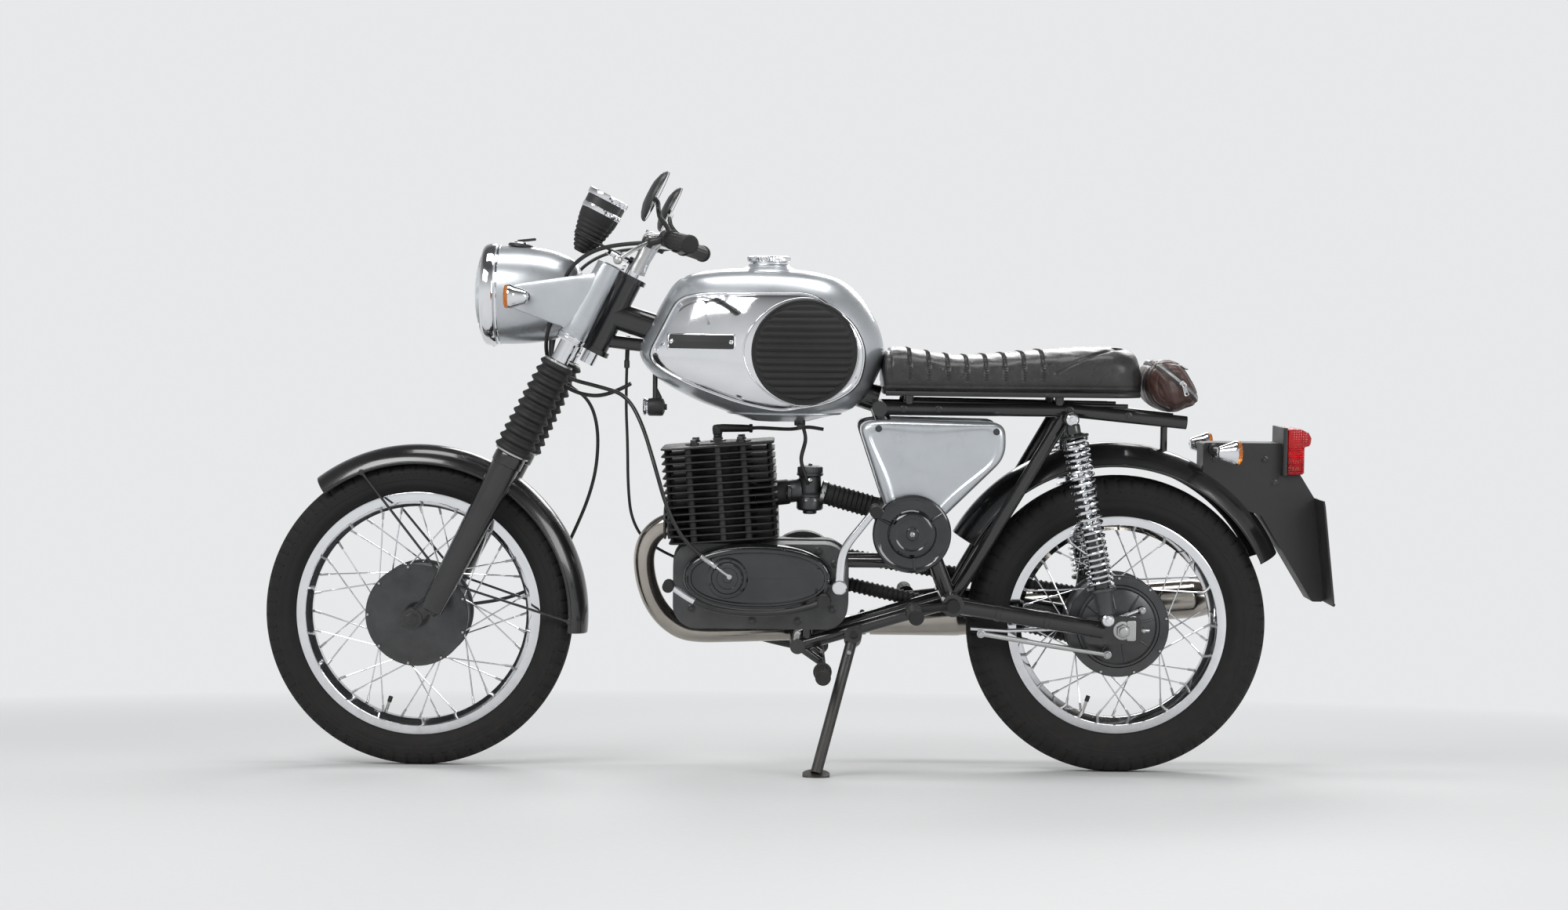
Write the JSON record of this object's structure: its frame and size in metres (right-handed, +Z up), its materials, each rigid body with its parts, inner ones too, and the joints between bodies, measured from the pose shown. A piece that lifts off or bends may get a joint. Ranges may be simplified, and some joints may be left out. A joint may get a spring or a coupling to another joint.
{
  "type": "cafe racer motorcycle",
  "caption": "Classic single-cylinder cafe racer motorcycle on its side stand, with turning steering, free wheels and a folding stand.",
  "frame": {"origin": "centre of the bounding box on the floor, with the motorcycle leaning on its side stand", "axes": "+Z up, -X forward, -Y the rider's left and the side that it leans to"},
  "size_m": [2.108, 0.6932, 1.1983],
  "materials": {
    "tyre": "matt",
    "alloy": "satin",
    "black_paint": "gloss",
    "rubber": "matt",
    "silver_paint": "metallic gloss",
    "chrome": "polished",
    "lens": "clear",
    "red_lens": "gloss",
    "pad": "ribbed",
    "seat_cover": "grained",
    "bag_leather": "grained",
    "engine_case": "satin"
  },
  "bodies": {
    "chassis": {"air_filter": "black_paint", "carburettor": "engine_case", "chain_case": "black_paint", "clutch_cover": "engine_case", "control_cables": "rubber", "crankcase": "engine_case", "cylinder": "black_paint", "exhaust": "chrome", "foot_levers": "chrome", "foot_pegs": "chrome", "frame": "black_paint", "horn": "black_paint", "knee_pads": "pad", "rear_axle": "chrome", "rear_brake_plate": "alloy", "rear_guard": "black_paint", "rear_indicators": "chrome", "seat": "seat_cover", "shocks": "chrome", "side_covers": "silver_paint", "swingarm": "black_paint", "tail_bracket": "black_paint", "tail_lamp": "red_lens", "tank": "silver_paint", "tank_panels": "chrome", "tool_bag": "bag_leather"},
    "steering": {"front_axle": "chrome", "fork_sliders": "black_paint", "fork_gaiters": "rubber", "fork_yokes": "alloy", "fork_covers": "silver_paint", "headlamp_shell": "silver_paint", "headlamp_lens": "lens", "front_indicators": "chrome", "instruments": "black_paint", "handlebar": "chrome", "grips": "rubber", "hand_levers": "chrome", "mirrors": "chrome", "front_guard": "black_paint", "front_brake_plate": "alloy", "brake_cable": "rubber"},
    "front_wheel": {"front_tyre": "tyre", "front_rim": "alloy", "front_hub": "alloy"},
    "rear_wheel": {"rear_tyre": "tyre", "rear_rim": "alloy", "rear_hub": "alloy"},
    "side_stand": {"side_stand": "black_paint"}
  },
  "joints": [
    {"name": "steering", "type": "hinge", "parent": "chassis", "child": "steering", "pos_m": [-0.41816, 0.02351, 0.80195], "axis": [0.454, -0.1086, 0.8844], "range_deg": [-36, 36], "deforming": ["control_cables"]},
    {"name": "front_wheel", "type": "hinge", "parent": "steering", "child": "front_wheel", "pos_m": [-0.748, 0.08468, 0.30372], "axis": [0, 0.9925, 0.1219], "continuous": true},
    {"name": "rear_wheel", "type": "hinge", "parent": "chassis", "child": "rear_wheel", "pos_m": [0.642, 0.08566, 0.29578], "axis": [0, 0.9925, 0.1219], "continuous": true},
    {"name": "side_stand", "type": "hinge", "parent": "chassis", "child": "side_stand", "pos_m": [0.115, -0.02356, 0.26625], "axis": [0.0123, -0.9543, 0.2985], "range_deg": [0, 84]}
  ]
}
